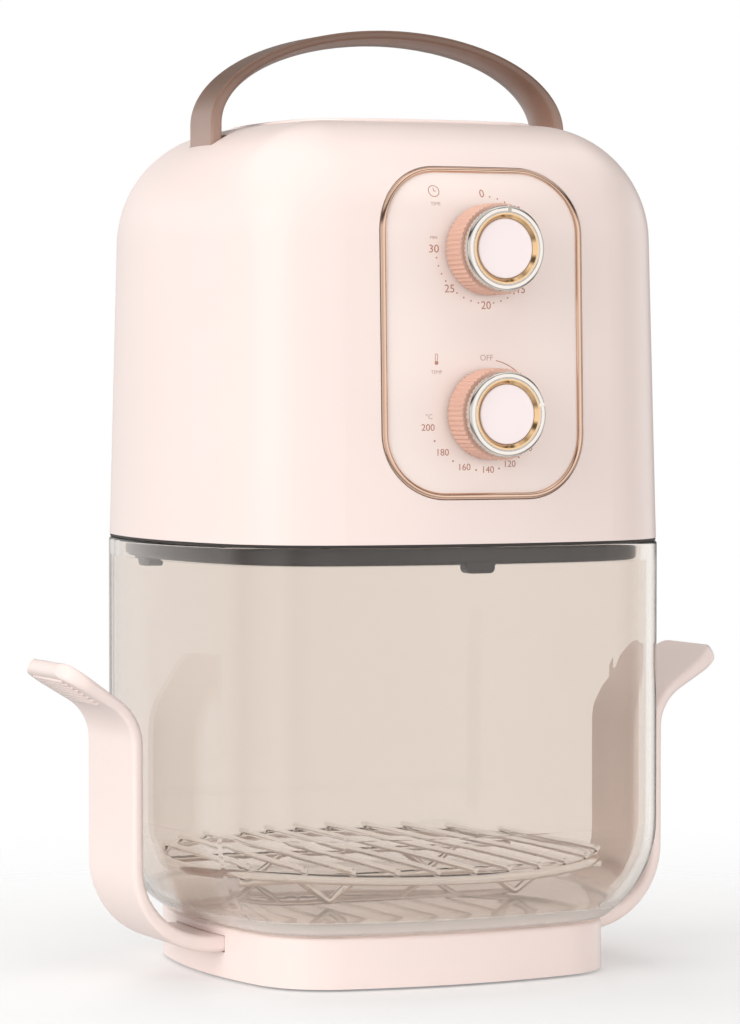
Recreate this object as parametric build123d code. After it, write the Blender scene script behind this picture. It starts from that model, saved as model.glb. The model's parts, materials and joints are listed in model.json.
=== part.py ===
from build123d import *
import math
import os

# Glass-bowl air fryer. Millimetres, +Z up, the control panel faces -Y, and the origin is on the
# ground under the middle of the appliance.

# ---------------------------------------------------------------- driving dimensions
SIDE_FLATNESS = 140          # every plan outline: radius of its bulging sides less its half width

# cradle
PLINTH_HALF = 79
PLINTH_CORNER = 32
PLINTH_BOTTOM = 1.0
PLINTH_TOP = 20.4
PLINTH_WALL = 3.0
COVER_PLATE = 2.4
FOOT_X = 50
FOOT_Y = 40
FOOT_RADIUS = 9
PAD_REACH = 44               # rubber pads between the plinth and the bowl

# ear straps
EAR_WIDTH = 50
EAR_OUT = 115.3              # outer face of the upright run, from the middle
EAR_THICK = 4.5
EAR_BEND = 33.5              # radius of the bend under the bowl
EAR_UNDERSIDE = 11
EAR_ROOT_TOP = 17.2
EAR_ROOT_X = 60              # inner end of the strap, inside the plinth
EAR_TIP_X = 140.6
EAR_TIP_Z = 121.2
EAR_TIP_RADIUS = 3.2
EAR_FLARE_Z = 92
EAR_FLARE_RADIUS = 18
EAR_LIP_ANGLE = 31
EAR_CORNER = 8               # radius of the lip's corners in plan
EAR_EDGE = 1.4

# bowl
BOWL_HALF = 100.3
BOWL_CORNER = 50.3
BOWL_WALL = 4.0
BOWL_ROUND = 46              # outer radius between the wall and the floor
BOWL_FOOT_Z = 21.5
BOWL_FLOOR_Z = 28.0
RIM_TOP = 170.0
RIM_HEIGHT = 7.0
RIM_INSIDE = 94.2

# head
HEAD_HALF = 100
HEAD_CORNER = 50
HEAD_BOTTOM = 171.2
HEAD_TOP = 333
HEAD_DRAFT = 1.5             # degrees
HEAD_ROUND = 46
HEAD_WALL = 2.6
CAP_HALF = 54
CAP_CORNER = 28
CAP_TOP = 334
HOT_BORE = 78                # radius of the hot chamber
RING_HALF = 92
RING_BOTTOM = 163
LUG_HALF = 6
LUG_BOTTOM = 159.6
LUG_BACK = 24                # how far the lugs on the two sides sit behind the middle

# carry handle
ARCH_HALF = 77
ARCH_RISE = 38.5
ARCH_WIDTH = 23
ARCH_FOOT_EDGE = 4.2         # thickness of the band's edges at the feet and at the top
ARCH_TOP_EDGE = 3.0
ARCH_CROWN = 2.5             # extra thickness along the middle of the band, on its inside
ARCH_BASE = 333
LEG_BOTTOM = 312
HANDLE_SCREW_X = 62

# control panel and dials
PANEL_HALF = 42.4
PANEL_LOW = 188
PANEL_HIGH = 314
PANEL_CORNER = 25
BEZEL_WIDTH = 2.5
BEZEL_PROUD = 1.3
TIMER_Z = 282.5
THERMO_Z = 220.3
TIMER_REST = 5               # degrees clockwise from the top mark
THERMO_REST = 76
KNOB_RADIUS = 17.3
KNOB_LENGTH = 17
KNOB_RING = 16.2
KNOB_DISC = 11.4
FLUTES = 56
KNOB_GAP = 0.8
BRACKET_Y = -85.2            # front face of the steel plate behind the panel
BRACKET_PLATE = 1.2

# rack
RACK_Z = 43
RACK_RADIUS = 86
RACK_WIRE = 2.0
ROD_WIRE = 1.2
ROD_PITCH = 15
ROD_COUNT = 11
BEARER_WIRE = 1.5
BEARER_Y = 40
RACK_FOOT_X = 40
RACK_FOOT_SPAN = 13          # half the width of each V-shaped foot

# air system
SHAFT_RADIUS = 3.0
DISH_TOP = 200
DISH_SCREW_RING = 82
MOTOR_PLATE_Z = 222
MOTOR_PLATE_THICK = 1.2
PILLAR_X = 70                # pillars that carry the motor plate
PILLAR_Y = 58
GUARD_Z = 167
BULB_X = 46                  # sensing bulb of the thermostat
BULB_Y = -50

# electrics
TIMER_CASE_BACK = -58
BELL_Z = 279
BELL_RADIUS = 13
THERMO_CAN_BACK = -74
THERMO_BASE_BACK = -62
PLUNGER_Y = 95
SWITCH_LOW = 178.4
SWITCH_HIGH = 188.4
BLOCK_Y = 72                 # terminal block under the crown of the shell
BLOCK_LOW = 300
BLOCK_HIGH = 312

REAR_FACE = 116.4            # rear stand-off, level with the knobs' reach in front


# ---------------------------------------------------------------- helpers
def squircle(half, corner):
    """Rounded square face at z = 0 whose sides bulge outwards."""
    bulge = half + SIDE_FLATNESS
    reach = bulge - corner
    k = SIDE_FLATNESS
    c = (-k + math.sqrt(2 * reach * reach - k * k)) / 2
    swing = math.atan2(c, c + k)
    diagonal = c + corner * math.sqrt(0.5)
    edges = []
    for turn in range(4):
        place = Rot(0, 0, 90 * turn)
        low = Vector(bulge * math.cos(swing) - k, -bulge * math.sin(swing))
        high = Vector(low.X, -low.Y)
        past = Vector(high.Y, high.X)
        edges.append(place * ThreePointArc(low, Vector(half, 0), high))
        edges.append(place * ThreePointArc(high, Vector(diagonal, diagonal), past))
    return make_face(edges)


def pillow(half, corner, low, high):
    """Upright prism on the rounded square outline."""
    return extrude(Pos(0, 0, low) * squircle(half, corner), high - low)


def block(x0, x1, y0, y1, z0, z1):
    centre = Pos((x0 + x1) / 2, (y0 + y1) / 2, (z0 + z1) / 2)
    return centre * Box(x1 - x0, y1 - y0, z1 - z0)


def rod(x, y, z0, z1, radius):
    return Pos(x, y, (z0 + z1) / 2) * Cylinder(radius, z1 - z0)


def rod_x(y, z, x0, x1, radius):
    return Pos((x0 + x1) / 2, y, z) * Rot(0, 90, 0) * Cylinder(radius, x1 - x0)


def rod_y(x, z, y0, y1, radius):
    return Pos(x, (y0 + y1) / 2, z) * Rot(90, 0, 0) * Cylinder(radius, y1 - y0)


def four(dx, dy):
    return [(dx, dy), (-dx, dy), (dx, -dy), (-dx, -dy)]


def screw(x, y, z_head, z_tip, head_radius=2.9, radius=1.5, head=2.0, slot=True):
    """Upright screw with its head at z_head, pointing at z_tip."""
    way = 1 if z_tip > z_head else -1
    inner = z_head + way * head
    body = rod(x, y, min(z_head, inner), max(z_head, inner), head_radius)
    body += rod(x, y, min(inner, z_tip), max(inner, z_tip), radius)
    if slot:
        for angle in (0, 90):
            cut = Pos(x, y, z_head) * Rot(0, 0, angle) * Box(head_radius * 1.3, 0.7, 1.6)
            body -= cut
    return body


def screw_y(x, z, y_head, y_tip, head_radius=2.9, radius=1.5, head=2.0):
    """Level screw along Y with its head at y_head, pointing at y_tip."""
    way = 1 if y_tip > y_head else -1
    inner = y_head + way * head
    body = rod_y(x, z, min(y_head, inner), max(y_head, inner), head_radius)
    body += rod_y(x, z, min(inner, y_tip), max(inner, y_tip), radius)
    for angle in (0, 90):
        body -= Pos(x, y_head, z) * Rot(0, angle, 0) * Box(head_radius * 1.3, 1.6, 0.7)
    return body


def save(node, shape):
    if isinstance(shape, (list, tuple)):
        shape = Compound(children=list(shape))
    export_step(shape, f"parts/{node}.step")


# ---------------------------------------------------------------- cradle
BASE_SCREWS = four(38, 61)
EAR_SCREWS = [(66, 15), (66, -15), (-66, 15), (-66, -15)]


def base_ring():
    outer = pillow(PLINTH_HALF, PLINTH_CORNER, PLINTH_BOTTOM, PLINTH_TOP)
    outer = fillet(outer.faces().sort_by(Axis.Z)[-1].edges(), 1.6)
    inner = pillow(PLINTH_HALF - PLINTH_WALL, PLINTH_CORNER - PLINTH_WALL, 0, PLINTH_TOP - 3)
    ring = outer - inner
    for x, y in BASE_SCREWS:
        ring += rod(x, y, 3.8, PLINTH_TOP - 3, 4.5)
        ring -= rod(x, y, 3, 15, 1.45)
    for x, y in EAR_SCREWS:
        ring -= rod(x, y, 15, 19, 1.45)
    window = block(-90, 90, -EAR_WIDTH / 2 - 0.2, EAR_WIDTH / 2 + 0.2, 10.8, PLINTH_TOP - 3)
    return ring - (window - inner)


def base_plate():
    top = PLINTH_BOTTOM + COVER_PLATE
    plate = pillow(PLINTH_HALF - PLINTH_WALL - 0.2, PLINTH_CORNER - PLINTH_WALL - 0.2, PLINTH_BOTTOM, top)
    for x, y in BASE_SCREWS:
        plate -= rod(x, y, 0, PLINTH_BOTTOM + 1.4, 3.2)
        plate -= rod(x, y, 0, 6, 1.7)
    for x, y in four(FOOT_X, FOOT_Y):
        plate -= rod(x, y, 0, 6, 4.05)
    return plate


def base_feet():
    feet = []
    for x, y in four(FOOT_X, FOOT_Y):
        pad = rod(x, y, 0, PLINTH_BOTTOM, FOOT_RADIUS)
        pad = chamfer(pad.edges().sort_by(Axis.Z)[0], 0.5)
        stem = rod(x, y, PLINTH_BOTTOM, 4.4, 4)
        lip = rod(x, y, PLINTH_BOTTOM + COVER_PLATE + 0.1, 4.8, 5)
        feet.append(pad + stem + lip)
    return feet


def base_screws():
    return [screw(x, y, PLINTH_BOTTOM + 0.1, 13, 3.0, 1.4, 1.2, slot=False) for x, y in BASE_SCREWS]


def ear_screws():
    return [screw(x, y, 9.0, 18.5, 2.8, 1.4, 1.9) for x, y in EAR_SCREWS]


def bowl_pads():
    return [rod(x, y, PLINTH_TOP, BOWL_FOOT_Z - 0.2, 8) for x, y in four(PAD_REACH, PAD_REACH)]


def ear(side):
    """Strap that leaves the plinth, bends up around the bowl and flares into a lip."""
    inside = EAR_OUT - EAR_THICK
    bend_x = EAR_OUT - EAR_BEND
    low = EAR_UNDERSIDE
    bend_z = low + EAR_BEND
    flare_x = EAR_OUT + EAR_FLARE_RADIUS
    lip = math.radians(EAR_LIP_ANGLE)
    turn = math.radians(90 + EAR_LIP_ANGLE)
    half_turn = math.radians(90 + EAR_LIP_ANGLE + (90 - EAR_LIP_ANGLE) / 2)
    wide = EAR_FLARE_RADIUS + EAR_THICK

    def flare(radius, angle):
        return Vector(flare_x + radius * math.cos(angle), EAR_FLARE_Z + radius * math.sin(angle))

    def tip(angle):
        return Vector(EAR_TIP_X + EAR_TIP_RADIUS * math.cos(angle), EAR_TIP_Z + EAR_TIP_RADIUS * math.sin(angle))

    outer_bend = ThreePointArc(
        (bend_x, low),
        (bend_x + EAR_BEND * math.sqrt(0.5), bend_z - EAR_BEND * math.sqrt(0.5)),
        (EAR_OUT, bend_z))
    outer_flare = ThreePointArc(
        (EAR_OUT, EAR_FLARE_Z), flare(EAR_FLARE_RADIUS, half_turn), flare(EAR_FLARE_RADIUS, turn))
    end = ThreePointArc(tip(lip - math.pi / 2), tip(lip), tip(lip + math.pi / 2))
    inner_flare = ThreePointArc(flare(wide, turn), flare(wide, half_turn), (inside, EAR_FLARE_Z))
    rise = bend_z - EAR_ROOT_TOP
    run = inside - bend_x
    inner_bend = ThreePointArc(
        (inside, bend_z), (bend_x + run * math.sqrt(0.5), bend_z - rise * math.sqrt(0.5)), (bend_x, EAR_ROOT_TOP))
    outline = [
        Line((EAR_ROOT_X, low), (bend_x, low)),
        outer_bend,
        Line((EAR_OUT, bend_z), (EAR_OUT, EAR_FLARE_Z)),
        outer_flare,
        Line(outer_flare @ 1, end @ 0),
        end,
        Line(end @ 1, inner_flare @ 0),
        inner_flare,
        Line((inside, EAR_FLARE_Z), (inside, bend_z)),
        inner_bend,
        Line((bend_x, EAR_ROOT_TOP), (EAR_ROOT_X, EAR_ROOT_TOP)),
        Line((EAR_ROOT_X, EAR_ROOT_TOP), (EAR_ROOT_X, low)),
    ]
    face = Plane.XZ * make_face(outline)
    strap = extrude(face, EAR_WIDTH / 2, both=True)
    long_edges = [edge for edge in strap.edges() if abs(abs(edge.center().Y) - EAR_WIDTH / 2) < 0.01]
    strap = fillet([edge for edge in long_edges if edge.center().X > bend_x + 2], EAR_EDGE)
    plan = block(0, EAR_TIP_X + EAR_TIP_RADIUS, -EAR_WIDTH / 2, EAR_WIDTH / 2, 0, 140)
    plan = fillet(plan.edges().filter_by(Axis.Z).sort_by(Axis.X)[-2:], EAR_CORNER)
    strap = strap & plan
    foot = outer_flare @ 1
    under_lip = (end @ 0) - foot
    for index in range(8):
        spot = foot + under_lip * ((index + 0.9) / 8.5)
        strap += rod_y(spot.X, spot.Y, -EAR_WIDTH / 2 + 9, EAR_WIDTH / 2 - 9, 0.7)
    for x, y in EAR_SCREWS[:2]:
        strap -= rod(x, y, 8, 20, 1.55)
    return strap if side > 0 else Rot(0, 0, 180) * strap


# ---------------------------------------------------------------- bowl
def glass_bowl():
    under = BOWL_FOOT_Z - 7.8
    outer = pillow(BOWL_HALF, BOWL_CORNER, under, RIM_TOP)
    outer = fillet(outer.faces().sort_by(Axis.Z)[0].edges(), BOWL_ROUND)
    outer = fillet(outer.faces().sort_by(Axis.Z)[-1].edges(), 1.2)
    outer -= block(-120, 120, -120, 120, 0, BOWL_FOOT_Z)
    outer = chamfer(outer.faces().sort_by(Axis.Z)[0].edges(), 1.0)
    inset = BOWL_HALF - BOWL_WALL
    inner = pillow(inset, BOWL_CORNER - BOWL_WALL, under + BOWL_WALL, RIM_TOP - RIM_HEIGHT)
    inner = fillet(inner.faces().sort_by(Axis.Z)[0].edges(), BOWL_ROUND - BOWL_WALL)
    inner -= block(-120, 120, -120, 120, 0, BOWL_FLOOR_Z)
    mouth_corner = BOWL_CORNER - (BOWL_HALF - RIM_INSIDE)
    mouth = pillow(RIM_INSIDE, mouth_corner, RIM_TOP - RIM_HEIGHT - 1, RIM_TOP + 5)
    return outer - inner - mouth


# ---------------------------------------------------------------- rack
def rack_ring():
    return Pos(0, 0, RACK_Z) * Torus(RACK_RADIUS, RACK_WIRE)


def rack_chord(across):
    """Half length of a wire that crosses the ring and is welded to it at both ends."""
    return math.sqrt(RACK_RADIUS ** 2 - across ** 2) + RACK_WIRE - 0.4


def rack_rods():
    rods = []
    for index in range(ROD_COUNT):
        x = (index - (ROD_COUNT - 1) / 2) * ROD_PITCH
        end = rack_chord(x)
        body = rod_y(x, RACK_Z + RACK_WIRE + ROD_WIRE, -end, end, ROD_WIRE)
        rods.append(fillet(body.edges().filter_by(GeomType.CIRCLE), 0.5))
    return rods


def rack_bearers():
    """Two wires under the ring, each with two V-shaped feet."""
    z = RACK_Z - RACK_WIRE - BEARER_WIRE
    tip = BOWL_FLOOR_Z + 0.3 + BEARER_WIRE
    bearers = []
    for y in (-BEARER_Y, BEARER_Y):
        end = rack_chord(y)
        bar = rod_x(y, z, -end, end, BEARER_WIRE)
        for x in (-RACK_FOOT_X, RACK_FOOT_X):
            points = [(x - RACK_FOOT_SPAN, y, z), (x, y, tip), (x + RACK_FOOT_SPAN, y, z)]
            path = FilletPolyline(*points, radius=2.2)
            section = Plane(origin=path @ 0, z_dir=path % 0) * Circle(BEARER_WIRE)
            bar += sweep(section, path=path)
        bearers.append(bar)
    return bearers


# ---------------------------------------------------------------- head shell
def head_form(inset):
    """Solid of the head's outside, moved inwards by inset."""
    lean = math.tan(math.radians(HEAD_DRAFT)) * (HEAD_TOP - HEAD_BOTTOM)
    low = squircle(HEAD_HALF - inset, HEAD_CORNER - inset)
    top = squircle(HEAD_HALF - inset - lean, HEAD_CORNER - inset - lean)
    form = loft([Pos(0, 0, HEAD_BOTTOM) * low, Pos(0, 0, HEAD_TOP - inset) * top], ruled=True)
    return fillet(form.faces().sort_by(Axis.Z)[-1].edges(), HEAD_ROUND - inset)


def panel_prism(shrink):
    """Rounded rectangle of the control panel, running back through the front wall."""
    width = 2 * (PANEL_HALF - shrink)
    height = PANEL_HIGH - PANEL_LOW - 2 * shrink
    face = Plane.XZ * Pos(0, (PANEL_LOW + PANEL_HIGH) / 2) * RectangleRounded(width, height, PANEL_CORNER - shrink)
    return extrude(Pos(0, -70, 0) * face, 60)


HOUSING_SCREWS = four(67, 67)
SHELL_BOSSES = [(-49, 201), (49, 201), (-49, 297), (49, 297)]
VENT_SCREWS = [(-36, 222), (36, 222), (-36, 282), (36, 282)]
CORD_Z = 197


def head_shell():
    outer = head_form(0)
    inner = head_form(HEAD_WALL)
    inner += pillow(HEAD_HALF - HEAD_WALL, HEAD_CORNER - HEAD_WALL, HEAD_BOTTOM - 1, HEAD_BOTTOM + 0.01)
    shell = outer - inner
    for x, y in HOUSING_SCREWS:
        boss = rod(x, y, 174.4, 196, 4.5)
        away = math.hypot(x, y)
        rib = Rot(0, 0, math.degrees(math.atan2(y, x))) * block(away, away + 17, -1.5, 1.5, 174.4, 196)
        shell += boss + (rib & outer)
        shell -= rod(x, y, 174, 190, 1.45)
    for x, z in SHELL_BOSSES:
        shell += rod_y(x, z, -96, BRACKET_Y, 4) & outer
        shell -= rod_y(x, z, -88.8, BRACKET_Y, 1.3)
    for side in (-1, 1):
        shell += rod(side * HANDLE_SCREW_X, 0, LEG_BOTTOM + 4.4, 331, 4.5) & outer
        shell -= rod(side * HANDLE_SCREW_X, 0, LEG_BOTTOM + 4, 326, 1.45)
        inner_x = ARCH_HALF - ARCH_FOOT_EDGE - ARCH_CROWN - 0.3
        leg = block(inner_x, ARCH_HALF + 0.3, -12, 12, 300, 340)
        shell -= leg if side > 0 else Rot(0, 0, 180) * leg
    shell -= panel_prism(-0.2)
    shell -= pillow(CAP_HALF + 0.15, CAP_CORNER + 0.15, HEAD_TOP - 1.4, HEAD_TOP + 5)
    for row in range(6):
        z = 236 + 8 * row
        shell -= block(-28, 28, 80, 110, z, z + 3.4)
    for x, z in VENT_SCREWS:
        shell -= rod_y(x, z, 80, 110, 1.3)
    return shell - rod_y(0, CORD_Z, 80, 110, 6.2)


def top_cap():
    cap = pillow(CAP_HALF, CAP_CORNER, HEAD_TOP - 1.3, CAP_TOP)
    return fillet(cap.faces().sort_by(Axis.Z)[-1].edges(), 0.8)


def arch_section(half, rise, low):
    """Face in the XZ plane: half an ellipse on a rectangle that goes down to low."""
    depth = ARCH_BASE - low
    dome = Ellipse(half, rise) & Pos(0, rise / 2) * Rectangle(2 * half, rise)
    legs = Pos(0, -depth / 2) * Rectangle(2 * half, depth)
    return Plane.XZ * Pos(0, ARCH_BASE) * (dome + legs)


def carry_handle():
    """Band bent into an arch, thicker along its middle, with legs that go down through the shell."""
    edge = ARCH_WIDTH / 2
    outer = extrude(arch_section(ARCH_HALF, ARCH_RISE, LEG_BOTTOM), edge, both=True)
    slices = []
    for share in (-1.1, -0.55, 0, 0.55, 1.1):
        crown = ARCH_CROWN * (1 - share * share)
        half = ARCH_HALF - ARCH_FOOT_EDGE - crown
        rise = ARCH_RISE - ARCH_TOP_EDGE - crown
        slices.append(Pos(0, share * edge, 0) * arch_section(half, rise, LEG_BOTTOM - 10))
    arch = outer - loft(slices)
    inside = ARCH_HALF - ARCH_FOOT_EDGE - ARCH_CROWN
    for side in (-1, 1):
        tab = block(55, inside + 1, -7, 7, LEG_BOTTOM, LEG_BOTTOM + 4)
        tab -= rod(HANDLE_SCREW_X, 0, 300, 330, 1.7)
        arch += tab if side > 0 else Rot(0, 0, 180) * tab
    rims = [rim for rim in arch.edges() if abs(abs(rim.center().Y) - edge) < 0.01]
    return fillet([rim for rim in rims if rim.center().Z > ARCH_BASE - 12], 1.1)


# ---------------------------------------------------------------- control panel
def control_fascia():
    plate = (panel_prism(0) & head_form(0.5)) - head_form(HEAD_WALL)
    for z in (TIMER_Z, THERMO_Z):
        plate -= rod_y(0, z, -110, -60, 4)
    return plate


def panel_bezel():
    ring = panel_prism(0) - panel_prism(BEZEL_WIDTH)
    return (ring & head_form(-BEZEL_PROUD)) - head_form(0.5)


def control_bracket():
    back = BRACKET_Y + BRACKET_PLATE
    plate = block(-34, 34, BRACKET_Y, back, 196, 302)
    for z in (201, 297):
        plate += block(-54, 54, BRACKET_Y, back, z - 5, z + 5)
    plate += block(-34, 34, BRACKET_Y, back + 8, 250, 250 + BRACKET_PLATE)
    for x, z in SHELL_BOSSES:
        plate -= rod_y(x, z, -95, -75, 1.6)
    for z in (TIMER_Z, THERMO_Z):
        plate -= rod_y(0, z, -95, -75, 4.5)
    return plate


def bracket_screws():
    back = BRACKET_Y + BRACKET_PLATE
    return [screw_y(x, z, back + 1.8, -88.6, 2.6, 1.2, 1.7) for x, z in SHELL_BOSSES]


def knob_back(z):
    lean = math.tan(math.radians(HEAD_DRAFT)) * (z - KNOB_RADIUS - HEAD_BOTTOM)
    return -(HEAD_HALF - lean) + 0.5 - KNOB_GAP


def clocked(shape, z, clockwise):
    """Turns a shape about the dial's axis, clockwise as seen from the front."""
    return Pos(0, 0, z) * Rot(0, clockwise, 0) * Pos(0, 0, -z) * shape


def knob_skirt(z):
    back = knob_back(z)
    points = []
    for step in range(2 * FLUTES):
        angle = math.pi * step / FLUTES
        radius = KNOB_RADIUS - 0.55 * (step % 2)
        points.append((radius * math.cos(angle), z + radius * math.sin(angle)))
    outline = Plane.XZ * make_face(Polyline(*points, close=True))
    skirt = extrude(Pos(0, back, 0) * outline, KNOB_LENGTH - 4.5)
    skirt += rod_y(0, z, back - KNOB_LENGTH + 2.6, back - KNOB_LENGTH + 6, KNOB_DISC - 0.1)
    skirt -= rod_y(0, z, back - KNOB_LENGTH + 6, back, KNOB_RADIUS - 2.6)
    skirt += rod_y(0, z, back - KNOB_LENGTH + 6, back - 1, 5.4)
    return skirt - rod_y(0, z, back - 10, back, SHAFT_RADIUS)


def knob_ring(z, clockwise):
    front = knob_back(z) - KNOB_LENGTH
    ring = rod_y(0, z, front, front + 4.5, KNOB_RING) - rod_y(0, z, front - 1, front + 6, KNOB_DISC)
    rims = ring.edges().filter_by(GeomType.CIRCLE).sort_by(Axis.Y)[:2].sort_by(SortBy.RADIUS)
    ring = fillet(rims[1], 1.2)
    rims = ring.edges().filter_by(GeomType.CIRCLE).sort_by(Axis.Y)[:2].sort_by(SortBy.RADIUS)
    ring = chamfer(rims[0], 1.3)
    groove = Pos(0, front, z) * Rot(90, 0, 0) * Torus(KNOB_RING - 2.5, 0.3)
    notch = block(-0.7, 0.7, front - 1, front + 1.6, z + KNOB_RING - 2.6, z + KNOB_RING + 1)
    return clocked(ring - groove - notch, z, clockwise)


def knob_disc(z):
    front = knob_back(z) - KNOB_LENGTH
    disc = rod_y(0, z, front + 0.9, front + 2.6, KNOB_DISC - 0.1)
    return fillet(disc.edges().filter_by(GeomType.CIRCLE).sort_by(Axis.Y)[0], 0.5)


def dial_shaft(z):
    """Steel spindle from the switch module into the knob."""
    return rod_y(0, z, knob_back(z) - 9.8, BRACKET_Y + BRACKET_PLATE + 5, SHAFT_RADIUS)


def shaft_socket(z):
    back = BRACKET_Y + BRACKET_PLATE
    return rod_y(0, z, back - 1, back + 5.2, SHAFT_RADIUS + 0.05)


def timer_module():
    back = BRACKET_Y + BRACKET_PLATE
    body = block(-21, 21, back + 0.1, TIMER_CASE_BACK, TIMER_Z - 16.5, TIMER_Z + 15.5)
    body = fillet(body.edges().filter_by(Axis.Y), 3)
    for x in (-12, 12):
        body += block(x - 3, x + 3, TIMER_CASE_BACK, TIMER_CASE_BACK + 8, TIMER_Z + 7.5, TIMER_Z + 8.3)
    return body - shaft_socket(TIMER_Z)


def timer_bell():
    front = TIMER_CASE_BACK + 0.2
    dome = rod_y(0, BELL_Z, front, front + 10.8, BELL_RADIUS)
    dome = fillet(dome.edges().filter_by(GeomType.CIRCLE).sort_by(Axis.Y)[-1], 5)
    dome -= rod_y(0, BELL_Z, front - 0.1, front + 8.8, BELL_RADIUS - 1.5)
    return dome + rod_y(0, BELL_Z, front, front + 9.8, 1.6)


def thermostat_body():
    back = BRACKET_Y + BRACKET_PLATE
    body = rod_y(0, THERMO_Z, back + 0.1, THERMO_CAN_BACK, 13.5)
    body += block(-12, 12, THERMO_CAN_BACK, THERMO_BASE_BACK, THERMO_Z - 11, THERMO_Z + 11)
    for x in (-8, 8):
        body += block(x - 3, x + 3, THERMO_BASE_BACK, THERMO_BASE_BACK + 7, THERMO_Z + 4, THERMO_Z + 4.8)
    return body - shaft_socket(THERMO_Z)


def capillary():
    """Thin tube from the thermostat to its sensing bulb in the hot chamber."""
    points = [
        (0, THERMO_BASE_BACK, 214), (0, BULB_Y, 214), (30, BULB_Y, 214),
        (BULB_X, BULB_Y, 206), (BULB_X, BULB_Y, 193)]
    path = FilletPolyline(*points, radius=3.5)
    tube = sweep(Plane(origin=path @ 0, z_dir=path % 0) * Circle(0.9), path=path)
    return tube + rod(BULB_X, BULB_Y, 172, 193, 2.4)


# ---------------------------------------------------------------- hot chamber
def lower_housing():
    """Black moulding that hangs in the bowl's mouth and carries the air system."""
    corner = HEAD_CORNER - (HEAD_HALF - RING_HALF)
    body = pillow(RING_HALF, corner, RING_BOTTOM, HEAD_BOTTOM)
    body = fillet(body.faces().sort_by(Axis.Z)[0].edges(), 1.5)
    flange = HEAD_HALF - HEAD_WALL - 0.3
    body += pillow(flange, HEAD_CORNER - HEAD_WALL - 0.3, HEAD_BOTTOM, 174.2)
    lug = block(RING_HALF - 6, RING_HALF - 0.6, -LUG_HALF, LUG_HALF, LUG_BOTTOM, RING_BOTTOM + 2)
    lug = fillet(lug.edges().filter_by(Axis.X).sort_by(Axis.Z)[:2], 2.2)
    for turn in (-90, 90):
        body += Rot(0, 0, turn) * lug
    for turn, back in ((0, LUG_BACK), (180, -LUG_BACK)):
        body += Rot(0, 0, turn) * Pos(-1.8, back, 0) * lug
    for x, y in four(PILLAR_X, PILLAR_Y):
        body += rod(x, y, 174.2, MOTOR_PLATE_Z, 4)
        body -= rod(x, y, 205, MOTOR_PLATE_Z, 1.45)
    body -= rod(0, 0, 150, 180, HOT_BORE)
    for x, y in HOUSING_SCREWS:
        body -= rod(x, y, 150, 170, 3.6)
        body -= rod(x, y, 150, 180, 1.7)
    for angle in range(45, 360, 90):
        body -= Rot(0, 0, angle) * rod(DISH_SCREW_RING, 0, 166, 175, 1.2)
    for index in range(8):
        body -= Rot(0, 0, 22.5 + 45 * index) * rod_x(0, GUARD_Z + 2.3, 70, HOT_BORE + 3.1, 1.2)
    return body - rod(0, PLUNGER_Y, 150, 180, 1.36)


def rim_gasket():
    outer = pillow(HEAD_HALF - 0.2, HEAD_CORNER - 0.2, RIM_TOP + 0.25, HEAD_BOTTOM)
    return outer - pillow(HEAD_HALF - 3, HEAD_CORNER - 3, RIM_TOP, HEAD_BOTTOM + 1)


def case_screws():
    """Long screws: four up through the housing, two up into the handle's tabs."""
    screws = [screw(x, y, 167.8, 186, 2.9, 1.4, 2.2) for x, y in HOUSING_SCREWS]
    for x in (-HANDLE_SCREW_X, HANDLE_SCREW_X):
        screws.append(screw(x, 0, LEG_BOTTOM - 2.2, 324, 2.9, 1.4, 2.2))
    return screws


def reflector_dish():
    dish = rod(0, 0, 174.2, DISH_TOP, HOT_BORE + 0.8)
    dish = fillet(dish.edges().filter_by(GeomType.CIRCLE).sort_by(Axis.Z)[-1], 8)
    hollow = rod(0, 0, 174.0, DISH_TOP - 0.8, HOT_BORE)
    hollow = fillet(hollow.edges().filter_by(GeomType.CIRCLE).sort_by(Axis.Z)[-1], 7.2)
    dish += rod(0, 0, 174.2, 175, HOT_BORE + 7)
    dish -= hollow
    for angle in range(45, 360, 90):
        dish -= Rot(0, 0, angle) * rod(DISH_SCREW_RING, 0, 170, 178, 1.4)
    for x, y in ELEMENT_LEGS:
        dish -= rod(x, y, 190, 210, 5.2)
    dish -= rod(BULB_X, BULB_Y, 190, 210, 1.2)
    return dish - rod(0, 0, 190, 210, 7)


def reflector_screws():
    upright = screw(DISH_SCREW_RING, 0, 177, 167, 2.4, 1.15, 1.9)
    return [Rot(0, 0, angle) * upright for angle in range(45, 360, 90)]


ELEMENT_Z = 180
ELEMENT_RADIUS = 3.1
ELEMENT_START = 15           # degrees, where both legs drop in
ELEMENT_OUTER = 58
ELEMENT_INNER = 43
ELEMENT_BEND = 8


def element_point(radius, degrees):
    angle = math.radians(degrees)
    return Vector(radius * math.cos(angle), radius * math.sin(angle), ELEMENT_Z)


def element_leg(radius):
    """Plan position of a leg: one bend back from the start of its loop."""
    angle = math.radians(ELEMENT_START)
    tangent = Vector(-math.sin(angle), math.cos(angle), 0)
    return element_point(radius, ELEMENT_START) - tangent * ELEMENT_BEND


ELEMENT_LEGS = [(p.X, p.Y) for p in (element_leg(ELEMENT_OUTER), element_leg(ELEMENT_INNER))]


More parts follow.
